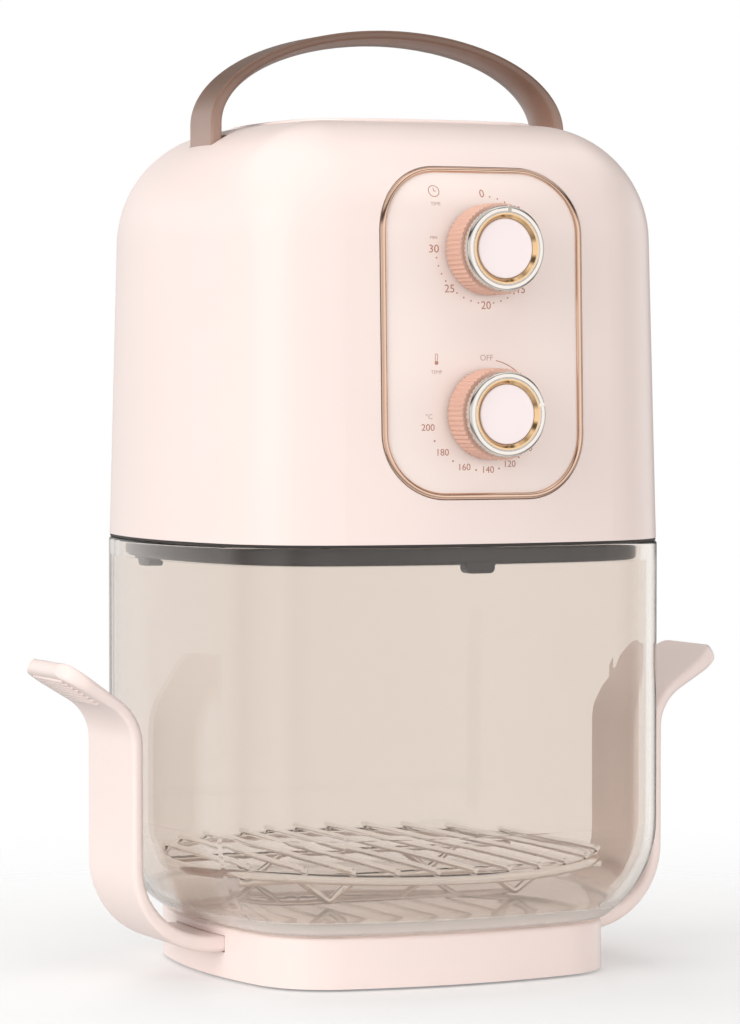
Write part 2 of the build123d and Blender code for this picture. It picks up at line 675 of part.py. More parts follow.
def heating_element():
    """One tube: down, round the outer loop, back round the inner loop, and up again."""
    angle = math.radians(ELEMENT_START)
    tangent = Vector(-math.sin(angle), math.cos(angle), 0)
    far = ELEMENT_START + 318
    middle = ELEMENT_START + 160
    away = math.radians(far)
    far_tangent = Vector(-math.sin(away), math.cos(away), 0)
    lift = Vector(0, 0, ELEMENT_BEND)

    def leg(radius):
        foot = element_point(radius, ELEMENT_START)
        side = foot - tangent * ELEMENT_BEND
        knee = foot + lift - (tangent + Vector(0, 0, 1)) * (ELEMENT_BEND * math.sqrt(0.5))
        return Line(side + Vector(0, 0, 30), side + lift), ThreePointArc(side + lift, knee, foot)

    down, bend_in = leg(ELEMENT_OUTER)
    up, bend_out = leg(ELEMENT_INNER)
    outer = ThreePointArc(
        element_point(ELEMENT_OUTER, ELEMENT_START), element_point(ELEMENT_OUTER, middle),
        element_point(ELEMENT_OUTER, far))
    turn_radius = (ELEMENT_OUTER - ELEMENT_INNER) / 2
    turn_mid = element_point(ELEMENT_INNER + turn_radius, far) + far_tangent * turn_radius
    turn = ThreePointArc(outer @ 1, turn_mid, element_point(ELEMENT_INNER, far))
    inner = ThreePointArc(
        element_point(ELEMENT_INNER, far), element_point(ELEMENT_INNER, middle),
        element_point(ELEMENT_INNER, ELEMENT_START))
    path = Wire([down, bend_in, outer, turn, inner, bend_out, up])
    section = Plane(origin=down @ 0, z_dir=(0, 0, -1)) * Circle(ELEMENT_RADIUS)
    return sweep(section, path=path)


def element_terminals():
    """Ceramic bushings that seal the legs through the dish, with their tabs."""
    bushings = []
    for x, y in ELEMENT_LEGS:
        bush = rod(x, y, DISH_TOP - 4, DISH_TOP, 5.1) + rod(x, y, DISH_TOP, 207, 6.5)
        bushings.append(bush - rod(x, y, 150, 230, ELEMENT_RADIUS))
    return bushings


def guard_grille():
    """Wire guard under the element: rings welded below eight spokes."""
    wires = [Pos(0, 0, GUARD_Z) * Torus(radius, 1.2) for radius in (14, 30, 46, 62)]
    for index in range(8):
        wires.append(Rot(0, 0, 22.5 + 45 * index) * rod_x(0, GUARD_Z + 2.3, 12, HOT_BORE + 3, 1.1))
    return wires


def insulation_ring():
    ring = rod(0, 0, DISH_TOP + 0.1, DISH_TOP + 3.1, 70)
    for x, y in ELEMENT_LEGS:
        ring -= rod(x, y, 190, 215, 6.8)
    ring -= rod(BULB_X, BULB_Y, 190, 215, 1.4)
    return ring - rod(0, 0, 190, 215, 10)


# ---------------------------------------------------------------- motor and fans
def motor_shaft():
    shaft = rod(0, 0, 184, 263, SHAFT_RADIUS)
    return chamfer(shaft.edges().filter_by(GeomType.CIRCLE), 0.4)


def hot_fan():
    hub = rod(0, 0, 188, 196, 9)
    fan = hub + rod(0, 0, 195, 196, 38)
    for index in range(9):
        blade = Pos(22.5, 0, 191.6) * Rot(0, 0, 18) * Box(27, 1.2, 7)
        fan += Rot(0, 0, 40 * index) * blade
    return fan - rod(0, 0, 180, 200, SHAFT_RADIUS)


def hot_fan_nut():
    nut = extrude(Pos(0, 0, 185) * RegularPolygon(5, 6), 2.9)
    return nut - rod(0, 0, 180, 190, SHAFT_RADIUS)


def cooling_fan():
    fan = rod(0, 0, 207, 217, 8) + rod(0, 0, 207, 208, 40)
    for index in range(9):
        blade = Pos(24, 0, 212.4) * Rot(0, 0, -15) * Box(30, 1.2, 9)
        fan += Rot(0, 0, 40 * index) * blade
    return fan - rod(0, 0, 200, 220, SHAFT_RADIUS)


POST_X = 25
STATOR_LOW = 232
STATOR_HIGH = 252


def motor_plate():
    top = MOTOR_PLATE_Z + MOTOR_PLATE_THICK
    plate = block(-78, 78, -26, 46, MOTOR_PLATE_Z, top)
    for side in (-1, 1):
        plate += block(min(side * 62, side * 78), max(side * 62, side * 78), -63, 63, MOTOR_PLATE_Z, top)
    for x, y in four(PILLAR_X, PILLAR_Y):
        plate -= rod(x, y, 200, 240, 1.6)
    for x in (-POST_X, POST_X):
        plate -= rod(x, 0, 200, 240, 2.1)
    plate -= rod(58.3, 7, 200, 240, 5)
    return plate - rod(0, 0, 200, 240, 10)


def plate_screws():
    return [screw(x, y, MOTOR_PLATE_Z + 3.2, 210, 2.8, 1.4, 1.9) for x, y in four(PILLAR_X, PILLAR_Y)]


def motor_stator():
    stack = block(-34, 34, -24, 42, STATOR_LOW, STATOR_HIGH)
    stack = fillet(stack.edges().filter_by(Axis.Z), 3)
    stack -= block(-17, 17, 20, 30, 200, 300)
    stack -= rod(0, 0, 200, 300, 15.4)
    for x in (-POST_X, POST_X):
        stack -= rod(x, 0, 200, 300, 2.1)
    return stack


def motor_coil():
    coil = block(-16, 16, 21, 51, 225, 259)
    coil = fillet(coil.edges().filter_by(Axis.X), 5)
    return coil - block(-20, 20, 29.9, 42.1, STATOR_LOW - 0.1, STATOR_HIGH + 0.1)


def motor_brackets():
    brackets = []
    for base, tip in ((MOTOR_PLATE_Z + MOTOR_PLATE_THICK, STATOR_LOW), (STATOR_HIGH, 261)):
        level = 225 if tip == STATOR_LOW else 258
        bar = block(-31, 31, -7, 7, level, level + 2.5) + rod(0, 0, level, level + 4, 8)
        for x in (-POST_X, POST_X):
            bar += rod(x, 0, base, tip, 4.5)
            bar -= rod(x, 0, 200, 300, 2.1)
        brackets.append(bar - rod(0, 0, 200, 300, 6))
    return brackets


def motor_bearings():
    bushes = []
    for level in (225, 258):
        bushes.append(rod(0, 0, level - 0.5, level + 4.2, 6) - rod(0, 0, 200, 300, SHAFT_RADIUS + 0.05))
    return bushes


def motor_rotor():
    core = rod(0, 0, STATOR_LOW - 1, STATOR_HIGH + 1, 15)
    core = chamfer(core.edges().filter_by(GeomType.CIRCLE), 0.8)
    return core - rod(0, 0, 200, 300, SHAFT_RADIUS)


def motor_screws():
    return [screw(x, 0, 263.2, 219.5, 3.6, 2.0, 2.1) for x in (-POST_X, POST_X)]


# ---------------------------------------------------------------- electrics
def thermal_fuse():
    body = rod_x(-46, 207.4, 16, 32, 3)
    return body + rod_x(-46, 207.4, 8, 40, 0.6)


def microswitch_body():
    body = block(-10, 10, 89.6, 96, SWITCH_LOW, SWITCH_HIGH)
    for x in (-7, 0, 7):
        body += block(x - 0.4, x + 0.4, 85, 89.6, SWITCH_LOW + 4.6, SWITCH_LOW + 7.6)
    body += block(-1, 1, 92.6, 94.6, SWITCH_LOW - 0.3, SWITCH_LOW)
    for x in (-8, 8):
        body += block(x - 2, x + 2, 90.2, 95.4, SWITCH_LOW - 4, SWITCH_LOW)
    return body


def interlock_plunger():
    """Sprung pin that the bowl's rim pushes up against the microswitch."""
    pin = rod(0, PLUNGER_Y, 170.35, 176.0, 1.3)
    return pin + rod(0, PLUNGER_Y - 1, 174.9, 176.0, 2.2)


def terminal_block():
    body = block(-22, 22, BLOCK_Y - 6, BLOCK_Y + 6, BLOCK_LOW, BLOCK_HIGH)
    for x in (-15, -5, 5, 15):
        body -= rod(x, BLOCK_Y, BLOCK_HIGH - 6, BLOCK_HIGH + 1, 2.2)
    for x in (-18, 18):
        body += rod(x, BLOCK_Y, BLOCK_HIGH, BLOCK_HIGH + 9, 2.5)
    return body


WIRES = {
    "feed": [(-15, 72, 299), (-15, 72, 276), (-40, 40, 276), (-40, -49, 276), (-12, -46, 286), (-12, -48.4, 290.4)],
    "coil": [(-5, 72, 299), (-5, 72, 280), (-5, 46, 272), (-5, 42, 260.5)],
    "heat": [(5, 72, 299), (5, 72, 268), (60, 60, 262), (58, 9, 240), (58.3, 7.0, 212)],
    "thermostat": [(15, 72, 299), (15, 72, 288), (45, 40, 288), (45, -48, 270), (8, -48, 240), (8, -53.2, 224.6)],
}


def wiring():
    wires = []
    for points in WIRES.values():
        path = FilletPolyline(*points, radius=3)
        section = Plane(origin=path @ 0, z_dir=path % 0) * Circle(1.1)
        wires.append(sweep(section, path=path))
    return wires


# ---------------------------------------------------------------- rear
def rear_vent_cover():
    """Louvred hood behind the head, which also keeps the appliance off the wall."""
    hood = block(-46, 46, 70, REAR_FACE, 206, 300)
    hood = fillet(hood.edges().filter_by(Axis.Y), 12)
    hood = fillet(hood.faces().sort_by(Axis.Y)[-1].edges(), 4)
    room = block(-43, 43, 60, REAR_FACE - 2.5, 209, 297)
    room = fillet(room.edges().filter_by(Axis.Y), 9)
    hood -= room
    for x, z in VENT_SCREWS:
        hood += rod_y(x, z, 88, REAR_FACE - 2, 3.5)
        hood -= rod_y(x, z, 80, 108, 1.3)
    hood -= head_form(-0.1)
    for row in range(7):
        z = 226 + 9 * row
        hood -= block(-30, 30, 100, 130, z, z + 4)
    return hood


def vent_screws():
    return [screw_y(x, z, 88.4, 106, 2.6, 1.2, 1.6) for x, z in VENT_SCREWS]


def cord_gland():
    """Rubber inlet bush below the rear hood."""
    bush = rod_y(0, CORD_Z, 92, 106, 6) + rod_y(0, CORD_Z, 100.4, 106, 8.5)
    bush += rod_y(0, CORD_Z, 92, 95, 8)
    return bush - rod_y(0, CORD_Z, 90, 110, 3.4)


def main():
    os.makedirs("parts", exist_ok=True)
    save("base_ring", base_ring())
    save("base_plate", base_plate())
    save("base_feet", base_feet())
    save("base_screws", base_screws())
    save("bowl_pads", bowl_pads())
    save("ear_right", ear(1))
    save("ear_left", ear(-1))
    save("ear_screws", ear_screws())
    save("glass_bowl", glass_bowl())
    save("rack_ring", rack_ring())
    save("rack_rods", rack_rods())
    save("rack_bearers", rack_bearers())
    save("head_shell", head_shell())
    save("top_cap", top_cap())
    save("carry_handle", carry_handle())
    save("control_fascia", control_fascia())
    save("panel_bezel", panel_bezel())
    save("control_bracket", control_bracket())
    save("bracket_screws", bracket_screws())
    for name, z, rest in (("timer", TIMER_Z, TIMER_REST), ("thermostat", THERMO_Z, THERMO_REST)):
        save(f"{name}_knob_skirt", knob_skirt(z))
        save(f"{name}_knob_ring", knob_ring(z, rest))
        save(f"{name}_knob_disc", knob_disc(z))
        save(f"{name}_shaft", dial_shaft(z))
    save("timer_module", timer_module())
    save("timer_bell", timer_bell())
    save("thermostat_body", thermostat_body())
    save("thermostat_capillary", capillary())
    save("lower_housing", lower_housing())
    save("rim_gasket", rim_gasket())
    save("case_screws", case_screws())
    save("reflector_dish", reflector_dish())
    save("reflector_screws", reflector_screws())
    save("heating_element", heating_element())
    save("element_terminals", element_terminals())
    save("guard_grille", guard_grille())
    save("insulation_ring", insulation_ring())
    save("motor_shaft", motor_shaft())
    save("hot_fan", hot_fan())
    save("hot_fan_nut", hot_fan_nut())
    save("cooling_fan", cooling_fan())
    save("motor_plate", motor_plate())
    save("plate_screws", plate_screws())
    save("motor_stator", motor_stator())
    save("motor_coil", motor_coil())
    save("motor_brackets", motor_brackets())
    save("motor_bearings", motor_bearings())
    save("motor_rotor", motor_rotor())
    save("motor_screws", motor_screws())
    save("thermal_fuse", thermal_fuse())
    save("microswitch_body", microswitch_body())
    save("interlock_plunger", interlock_plunger())
    save("terminal_block", terminal_block())
    save("wiring", wiring())
    save("rear_vent_cover", rear_vent_cover())
    save("vent_screws", vent_screws())
    save("cord_gland", cord_gland())


main()
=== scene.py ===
import json
import math

import bmesh
import bpy
from mathutils import Matrix, Vector
from mathutils.bvhtree import BVHTree


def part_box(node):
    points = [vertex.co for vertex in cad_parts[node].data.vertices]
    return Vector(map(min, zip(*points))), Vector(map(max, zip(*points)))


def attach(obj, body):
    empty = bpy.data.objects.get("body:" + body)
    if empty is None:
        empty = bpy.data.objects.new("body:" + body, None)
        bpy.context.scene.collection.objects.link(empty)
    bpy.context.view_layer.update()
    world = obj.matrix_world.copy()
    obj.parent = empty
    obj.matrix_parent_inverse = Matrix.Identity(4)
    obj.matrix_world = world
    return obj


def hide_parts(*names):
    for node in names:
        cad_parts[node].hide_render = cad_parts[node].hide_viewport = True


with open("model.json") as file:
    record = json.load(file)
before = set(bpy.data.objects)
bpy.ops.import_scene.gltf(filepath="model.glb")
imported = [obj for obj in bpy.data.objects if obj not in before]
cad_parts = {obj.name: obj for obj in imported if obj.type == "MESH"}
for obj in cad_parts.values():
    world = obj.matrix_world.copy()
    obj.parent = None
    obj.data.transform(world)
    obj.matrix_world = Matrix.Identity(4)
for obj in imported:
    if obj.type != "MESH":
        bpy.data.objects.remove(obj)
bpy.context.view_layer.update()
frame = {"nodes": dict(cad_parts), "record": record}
nodes = frame["nodes"]
MM = 0.001


# ---------------------------------------------------------------- camera
CAMERA_AZIMUTH = math.radians(-24.6)
CAMERA_DISTANCE = 1.693
CAMERA_HEIGHT = 0.2345
CAMERA_LENS = 148.8
SENSOR_WIDTH = 36
AIM_HEIGHT = 0.1803
AIM_LEFT = 0.0037


def add_camera():
    """Long lens that looks slightly down at the fryer from its front left."""
    data = bpy.data.cameras.new("camera")
    data.lens = CAMERA_LENS
    data.sensor_width = SENSOR_WIDTH
    camera = bpy.data.objects.new("camera", data)
    bpy.context.scene.collection.objects.link(camera)
    across = Vector((math.cos(CAMERA_AZIMUTH), math.sin(CAMERA_AZIMUTH), 0))
    back = Vector((math.sin(CAMERA_AZIMUTH), -math.cos(CAMERA_AZIMUTH), 0))
    camera.location = back * CAMERA_DISTANCE + Vector((0, 0, CAMERA_HEIGHT))
    target = Vector((0, 0, AIM_HEIGHT)) - across * AIM_LEFT
    camera.rotation_mode = "QUATERNION"
    camera.rotation_quaternion = (target - camera.location).to_track_quat("-Z", "Y")
    bpy.context.scene.camera = camera


add_camera()


# ---------------------------------------------------------------- node helpers
BUMP_DEPTH = 0.2 * MM


class Graph:
    """Short names for building a node tree."""

    def __init__(self, tree):
        self.tree = tree
        self.tree.nodes.clear()

    def add(self, kind, **values):
        node = self.tree.nodes.new(kind)
        for key, value in values.items():
            setattr(node, key, value)
        return node

    def set(self, node, **sockets):
        for key, value in sockets.items():
            name = key.replace("_", " ")
            node.inputs[name].default_value = value

    def link(self, source, target):
        self.tree.links.new(source, target)

    def coordinates(self):
        return self.add("ShaderNodeTexCoord").outputs["Object"]

    def split(self, vector):
        """Sockets X, Y and Z of a vector."""
        node = self.add("ShaderNodeSeparateXYZ")
        self.link(vector, node.inputs["Vector"])
        return node.outputs

    def noise(self, vector, scale, detail, rough=0.5):
        node = self.add("ShaderNodeTexNoise")
        self.set(node, Scale=scale, Detail=detail, Roughness=rough)
        self.link(vector, node.inputs["Vector"])
        return node.outputs["Fac"]

    def span(self, value, low, high):
        """Stretches a value from 0..1 to low..high."""
        node = self.add("ShaderNodeMapRange")
        node.inputs["To Min"].default_value = low
        node.inputs["To Max"].default_value = high
        self.link(value, node.inputs["Value"])
        return node.outputs["Result"]

    def ramp(self, value, stops):
        """Colour read from (position, colour) stops."""
        node = self.add("ShaderNodeValToRGB")
        elements = node.color_ramp.elements
        while len(elements) < len(stops):
            elements.new(0.5)
        for element, (place, color) in zip(elements, stops):
            element.position = place
            element.color = (*color, 1)
        self.link(value, node.inputs["Fac"])
        return node.outputs["Color"]

    def math(self, operation, *values):
        """Math node fed with numbers or sockets."""
        node = self.add("ShaderNodeMath", operation=operation)
        for socket, value in zip(node.inputs, values):
            if isinstance(value, (int, float)):
                socket.default_value = value
            else:
                self.link(value, socket)
        return node.outputs["Value"]

    def bump(self, height, strength, shader):
        """Fine relief on a shader's normal."""
        node = self.add("ShaderNodeBump")
        self.set(node, Strength=strength, Distance=BUMP_DEPTH)
        self.link(height, node.inputs["Height"])
        self.link(node.outputs["Normal"], shader.inputs["Normal"])


def shade(color, factor):
    """Lighter or darker version of a colour."""
    return tuple(min(1.0, channel * factor) for channel in color)


def srgb(red, green, blue):
    """Linear colour from display values of 0 to 255."""
    def straight(value):
        value /= 255
        return value / 12.92 if value <= 0.04045 else ((value + 0.055) / 1.055) ** 2.4
    return straight(red), straight(green), straight(blue)


# ---------------------------------------------------------------- finishes
PINK = srgb(243, 226, 220)
TAUPE = srgb(105, 69, 46)
# Paler taupe painted on the handle's feet as bounce light from the shell below.
TAUPE_PAINTED_BOUNCE = srgb(158, 124, 107)
CHROME = srgb(226, 220, 214)
GILT = srgb(226, 190, 146)
BEVEL_REACH = 13.3 * MM
PAINTED_BOUNCE_TO = 0.28
FEET_TAUPE_FROM = 0.7
FEET_CLOUD = 0.06
FEET_CLOUD_SCALE = 60
GLASS_TINT = (0.862, 0.80, 0.75)
GLASS_IOR = 1.47
# Heights over the table, each with the share of light that the bowl lets through there.
GLASS_CLEARNESS = ((21.5 * MM, 0.55), (23 * MM, 0.25), (26 * MM, 0.4), (28.5 * MM, 1.0))
CLEARNESS_SPAN = 100 * MM


def surface(name, color, rough, metal=0.0, mottle=0.03, mottle_scale=25.0, rough_spread=0.06,
            grain=0.0, grain_scale=1800.0, coat=0.0, coat_rough=0.1, specular=0.5, extra=None):
    """Principled material whose tint, gloss and fine relief vary over the surface."""
    made = bpy.data.materials.new(name)
    made.use_nodes = True
    graph = Graph(made.node_tree)
    shader = graph.add("ShaderNodeBsdfPrincipled")
    output = graph.add("ShaderNodeOutputMaterial")
    graph.link(shader.outputs["BSDF"], output.inputs["Surface"])
    place = graph.coordinates()
    cloud = graph.noise(place, mottle_scale, 4.0)
    tint = graph.ramp(cloud, [(0.3, shade(color, 1 - mottle)), (0.7, shade(color, 1 + mottle))])
    graph.link(tint, shader.inputs["Base Color"])
    patches = graph.noise(place, mottle_scale * 6, 5.0, 0.6)
    graph.link(graph.span(patches, rough - rough_spread, rough + rough_spread), shader.inputs["Roughness"])
    shader.inputs["Metallic"].default_value = metal
    shader.inputs["Specular IOR Level"].default_value = specular
    shader.inputs["Coat Weight"].default_value = coat
    shader.inputs["Coat Roughness"].default_value = coat_rough
    if grain:
        relief = graph.noise(place, grain_scale, 2.0)
        graph.bump(relief, grain, shader)
    if extra:
        extra(graph, shader, place)
    return made


def striped(scale, axis, low, high, depth=0.5):
    """Extra for surface(): fine parallel bands in colour and relief."""
    def apply(graph, shader, place):
        wave = graph.add("ShaderNodeTexWave", wave_type="BANDS", bands_direction=axis)
        graph.set(wave, Scale=scale, Distortion=0.4)
        graph.link(place, wave.inputs["Vector"])
        graph.link(graph.ramp(wave.outputs["Fac"], [(0.2, low), (0.8, high)]), shader.inputs["Base Color"])
        graph.bump(wave.outputs["Fac"], depth, shader)
    return apply


def glassy(graph, shader, place):
    """Clear above the bowl's floor; the ground foot under it is frosted and lets less through."""
    height = graph.math("DIVIDE", graph.split(place)["Z"], CLEARNESS_SPAN)
    stops = [(level / CLEARNESS_SPAN, (share,) * 3) for level, share in GLASS_CLEARNESS]
    graph.link(graph.ramp(height, stops), shader.inputs["Transmission Weight"])
    shader.inputs["IOR"].default_value = GLASS_IOR


def dial_centre(name):
    """Axis of a dial as (x, z)."""
    low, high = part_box(f"{name}_knob_ring")
    return (low.x + high.x) / 2, (low.z + high.z) / 2


def gilded_bevel(graph, shader, place):
    """Chrome outside, pale gold inside BEVEL_REACH from either dial's axis."""
    parts = graph.split(place)
    reaches = []
    for name in ("timer", "thermostat"):
        x, z = dial_centre(name)
        across = graph.math("SUBTRACT", parts["X"], x)
        up = graph.math("SUBTRACT", parts["Z"], z)
        square = graph.math("ADD", graph.math("MULTIPLY", across, across), graph.math("MULTIPLY", up, up))
        reaches.append(graph.math("SQRT", square))
    outside = graph.math("GREATER_THAN", graph.math("MINIMUM", *reaches), BEVEL_REACH)
    graph.link(graph.ramp(outside, [(0.0, GILT), (1.0, CHROME)]), shader.inputs["Base Color"])


def paler_feet(graph, shader, place):
    """Taupe that turns paler towards the feet of the carry handle: painted bounce light from the shell
    below, not a change in the plastic.
    """
    low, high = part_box("carry_handle")
    climb = graph.math("DIVIDE", graph.math("SUBTRACT", graph.split(place)["Z"], low.z), high.z - low.z)
    cloud = graph.math("MULTIPLY", graph.noise(place, FEET_CLOUD_SCALE, 4.0), FEET_CLOUD)
    blend = graph.math("ADD", climb, cloud)
    tint = graph.ramp(blend, [(PAINTED_BOUNCE_TO, TAUPE_PAINTED_BOUNCE), (FEET_TAUPE_FROM, TAUPE)])
    graph.link(tint, shader.inputs["Base Color"])


finishes = {
    "body_plastic": surface("pink_plastic", PINK, 0.36, mottle=0.008, rough_spread=0.03, grain=0.03,
                            grain_scale=2600, coat=0.25, coat_rough=0.22),
    "fascia_plastic": surface("fascia_plastic", srgb(246, 231, 224), 0.30, mottle=0.006, rough_spread=0.02,
                              grain=0.015, grain_scale=3000, coat=0.3, coat_rough=0.15),
    # The handle's feet carry painted bounce light: paler taupe towards the bottom.
    "handle_plastic": surface("taupe_plastic", TAUPE, 0.38, mottle=0.03, grain=0.08, grain_scale=2200,
                              coat=1.0, coat_rough=0.36, specular=0.8, extra=paler_feet),
    "dark_plastic": surface("black_plastic", srgb(48, 46, 46), 0.42, mottle=0.08, grain=0.12,
                            grain_scale=2000),
    "rubber": surface("black_rubber", srgb(42, 40, 40), 0.75, mottle=0.08, grain=0.25, grain_scale=1500),
    "silicone": surface("dark_silicone", srgb(58, 54, 52), 0.62, mottle=0.05, grain=0.15, grain_scale=1500),
    "glass": surface("bowl_glass", GLASS_TINT, 0.002, mottle=0.004, rough_spread=0.002, extra=glassy),
    "rack_steel": surface("rack_steel", srgb(242, 240, 237), 0.11, metal=1.0, mottle=0.05, grain=0.05),
    "bezel_metal": surface("rose_gold", srgb(228, 194, 172), 0.12, metal=1.0, mottle=0.03,
                           rough_spread=0.04),
    "knob_copper": surface("satin_copper", srgb(230, 187, 168), 0.36, metal=0.3, mottle=0.04, grain=0.05),
    "knob_chrome": surface("knob_chrome", CHROME, 0.07, metal=1.0, mottle=0.02, rough_spread=0.03,
                           extra=gilded_bevel),
    "knob_inlay": surface("knob_inlay", srgb(253, 240, 240), 0.22, mottle=0.006, coat=0.5, coat_rough=0.06),
    "steel": surface("zinc_steel", srgb(178, 178, 176), 0.32, metal=1.0, mottle=0.08, grain=0.08),
    "dish_metal": surface("aluminised_sheet", srgb(205, 205, 203), 0.24, metal=1.0, mottle=0.05,
                          grain=0.06),
    "element_metal": surface("oxidised_sheath", srgb(92, 86, 84), 0.45, metal=0.8, mottle=0.16,
                             grain=0.15),
    "brass": surface("brass", srgb(196, 160, 92), 0.26, metal=1.0, mottle=0.08, grain=0.05),
    "copper": surface("copper_tube", srgb(200, 132, 100), 0.28, metal=1.0, mottle=0.08, grain=0.04),
    "ceramic": surface("ceramic", srgb(235, 231, 222), 0.55, mottle=0.03, grain=0.12, grain_scale=1400),
    "mica": surface("mica_board", srgb(158, 146, 124), 0.55, mottle=0.14, mottle_scale=120, grain=0.2),
    "lamination": surface("laminations", srgb(110, 110, 114), 0.4, metal=0.9,
                          extra=striped(320, "Z", srgb(80, 80, 84), srgb(140, 140, 144))),
    "coil": surface("enamelled_winding", srgb(160, 88, 52), 0.28, metal=0.6, coat=0.5,
                    extra=striped(260, "X", srgb(120, 60, 34), srgb(190, 112, 70), 0.8)),
    "cast_metal": surface("die_cast", srgb(165, 165, 164), 0.42, metal=0.9, mottle=0.06, grain=0.2),
    "wire_sleeve": surface("glass_sleeve", srgb(222, 214, 196), 0.7, mottle=0.05,
                           extra=striped(700, "DIAGONAL", srgb(200, 190, 170), srgb(236, 230, 216), 0.6)),
}
print_ink = surface("dial_print", srgb(186, 132, 116), 0.5, mottle=0.05)
print_grey = surface("word_print", srgb(196, 170, 160), 0.5, mottle=0.05)

for part in frame["record"]["subparts"]:
    for slot in nodes[part["node"]].material_slots:
        slot.material = finishes[part["material_slot"]]


# ---------------------------------------------------------------- mesh helpers
def new_piece(name, mesh, body, finish):
    """Object that rides on a body and has one finish."""
    piece = bpy.data.objects.new(name, mesh)
    bpy.context.scene.collection.objects.link(piece)
    mesh.materials.clear()
    mesh.materials.append(finish)
    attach(piece, body)
    return piece


def solid_mesh(name, work, smooth):
    """Mesh of closed shapes with their faces turned outwards."""
    bmesh.ops.recalc_face_normals(work, faces=work.faces)
    for face in work.faces:
        face.smooth = smooth
    mesh = bpy.data.meshes.new(name)
    work.to_mesh(mesh)
    work.free()
    return mesh


def join_rings(work, rings):
    """Faces between each ring of points and the next."""
    count = len(rings[0])
    for ring, following in zip(rings, rings[1:]):
        for step in range(count):
            other = (step + 1) % count
            work.faces.new((ring[step], ring[other], following[other], following[step]))


def close_ends(work, rings):
    """Flat faces over the first and the last ring."""
    work.faces.new(rings[0])
    work.faces.new(rings[-1])


def cad_tree(node):
    """Search tree over a CAD node's faces."""
    mesh = nodes[node].data
    return BVHTree.FromPolygons([v.co for v in mesh.vertices], [p.vertices for p in mesh.polygons])


fascia_tree = cad_tree("control_fascia")
shell_tree = cad_tree("head_shell")
RAY_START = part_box("head_shell")[0].y - 50 * MM
RAY_LENGTH = 100 * MM


def front_surface(x, z):
    """Point and outward normal of the head's front at (x, z)."""
    for tree in (fascia_tree, shell_tree):
        point, normal, _, _ = tree.ray_cast(Vector((x, RAY_START, z)), Vector((0, 1, 0)), RAY_LENGTH)
        if point:
            return point, (normal if normal.y < 0 else -normal)
    raise ValueError("no front surface there")


# ---------------------------------------------------------------- dial print
# Turns are in degrees; HEAT_MIDDLE is the place of the number at the bottom of the lower dial.
PRINT_DEPTH = 0.06 * MM
PRINT_STAND = 0.4 * PRINT_DEPTH
CAP_HEIGHT = 0.72
MARK_RING = 21.2 * MM
MINUTE_TURN = 9
MINUTE_DOT_RING = 20.4 * MM
MINUTE_DOT = 0.32 * MM
HEAT_TURN = 26
HEAT_MIDDLE = 3
HEAT_DRIFT = 1.2 * MM
HEAT_DOT_DRIFT = 1.1 * MM
HEAT_DOT = 0.36 * MM
SYMBOL_WORD = 1.35 * MM
CLOCK_RADIUS = 2.1 * MM
CLOCK_LINE = 0.28 * MM
HAND_LINE = 0.26 * MM
HAND_TAIL = 0.1 * MM
LONG_HAND = 1.3 * MM
SHORT_HAND = 1.0 * MM
BULB_DROP = 1.3 * MM
BULB_RADIUS = 0.75 * MM
TUBE_HALF = 0.45 * MM
TUBE_DROP = 0.8 * MM
TUBE_RISE = 1.7 * MM
TUBE_LINE = 0.2 * MM


def laid_on_front(mesh):
    """Moves a mesh drawn in the XZ plane onto the fascia, keeping its thickness along Y."""
    for vertex in mesh.vertices:
        point, _ = front_surface(vertex.co.x, vertex.co.z)
        vertex.co.y = point.y - PRINT_STAND + vertex.co.y


def words(name, text, x, z, height, finish=print_ink):
    """Flat lettering centred on (x, z), made into a thin solid."""
    curve = bpy.data.curves.new(name, "FONT")
    curve.body = text
    curve.align_x = "CENTER"
    curve.align_y = "CENTER"
    curve.size = height / CAP_HEIGHT
    curve.extrude = PRINT_DEPTH / 2
    curve.resolution_u = 4
    holder = bpy.data.objects.new(name + "_curve", curve)
    bpy.context.scene.collection.objects.link(holder)
    bpy.context.view_layer.update()
    mesh = bpy.data.meshes.new_from_object(holder)
    bpy.data.objects.remove(holder)
    for vertex in mesh.vertices:
        flat = vertex.co.copy()
        vertex.co = Vector((x + flat.x, -flat.z, z + flat.y))
    laid_on_front(mesh)
    return new_piece(name, mesh, "head", finish)


def plate_from_outlines(name, outlines):
    """Thin solids from closed (x, z) outlines."""
    work = bmesh.new()
    for outline in outlines:
        front = [work.verts.new((x, -PRINT_DEPTH / 2, z)) for x, z in outline]
        back = [work.verts.new((x, PRINT_DEPTH / 2, z)) for x, z in outline]
        work.faces.new(front)
        work.faces.new(list(reversed(back)))
        for index, corner in enumerate(front):
            other = (index + 1) % len(front)
            work.faces.new((front[other], corner, back[index], back[other]))
    mesh = solid_mesh(name, work, smooth=False)
    laid_on_front(mesh)
    return new_piece(name, mesh, "head", print_ink)


def disc(x, z, radius):
    """Outline of a dot."""
    sides = 14
    step = 2 * math.pi / sides
    return [(x + radius * math.cos(step * i), z + radius * math.sin(step * i)) for i in range(sides)]


def dash(x0, z0, x1, z1, width):
    """Rectangle around the line from (x0, z0) to (x1, z1)."""
    along = Vector((x1 - x0, z1 - z0)).normalized()
    side = Vector((-along.y, along.x)) * width / 2
    return [(x0 + side.x, z0 + side.y), (x0 - side.x, z0 - side.y),
            (x1 - side.x, z1 - side.y), (x1 + side.x, z1 + side.y)]


def around(centre, radius, degrees):
    """Point on a dial, clockwise from the top."""
    angle = math.radians(degrees)
    return centre[0] + radius * math.sin(angle), centre[1] + radius * math.cos(angle)


def arc_dashes(x, z, radius, start, stop, width, step):
    """Bars of step degrees that follow an arc; angles run clockwise from the top."""
    bars = []
    count = max(1, round((stop - start) / step))
    for index in range(count):
        begin = around((x, z), radius, start + (stop - start) * index / count)
        end = around((x, z), radius, start + (stop - start) * (index + 1) / count)
        bars.append(dash(*begin, *end, width))
    return bars


